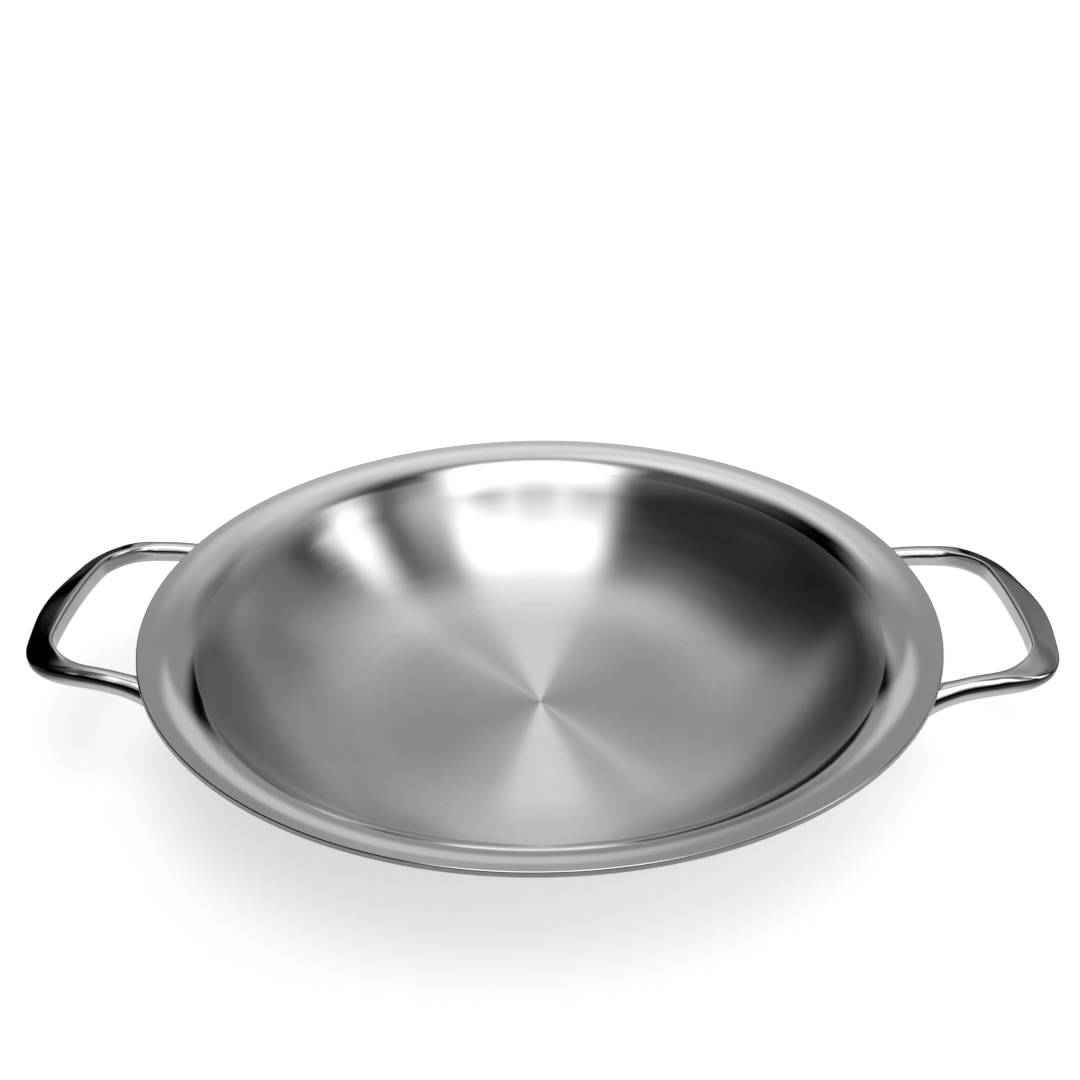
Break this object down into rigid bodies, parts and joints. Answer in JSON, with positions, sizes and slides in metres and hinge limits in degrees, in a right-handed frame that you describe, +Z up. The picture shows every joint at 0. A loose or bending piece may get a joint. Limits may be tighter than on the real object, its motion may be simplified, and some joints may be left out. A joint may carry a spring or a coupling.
{
  "type": "hot pot pan",
  "caption": "Shallow round stainless hot pot pan with a dished satin interior, a flared polished rim and cast loop handles on opposite sides.",
  "frame": {"origin": "centre of the flat base, on the surface that the pan stands on", "axes": "+Z up along the pan's axis, +X towards the right handle, +Y away from the front"},
  "size_m": [0.412, 0.32, 0.0548],
  "materials": {
    "satin_lining": "stainless sheet, satin inside with fine turned lines, rim polished to a mirror",
    "core_sheet": "aluminium sheet, seen only as the middle of the cut rim edge",
    "outer_skin": "magnetic stainless sheet, polished wall with a turned base",
    "polished_casting": "cast stainless steel, polished to a mirror, bare grips",
    "weld_metal": "fused weld metal, dull"
  },
  "bodies": {
    "root": {"pan_inner_ply": "satin_lining", "pan_core_ply": "core_sheet", "pan_outer_ply": "outer_skin", "handle_left": "polished_casting", "handle_right": "polished_casting", "weld_left_front_upper": "weld_metal", "weld_left_front_lower": "weld_metal", "weld_left_back_upper": "weld_metal", "weld_left_back_lower": "weld_metal", "weld_right_front_upper": "weld_metal", "weld_right_front_lower": "weld_metal", "weld_right_back_upper": "weld_metal", "weld_right_back_lower": "weld_metal"}
  },
  "joints": []
}
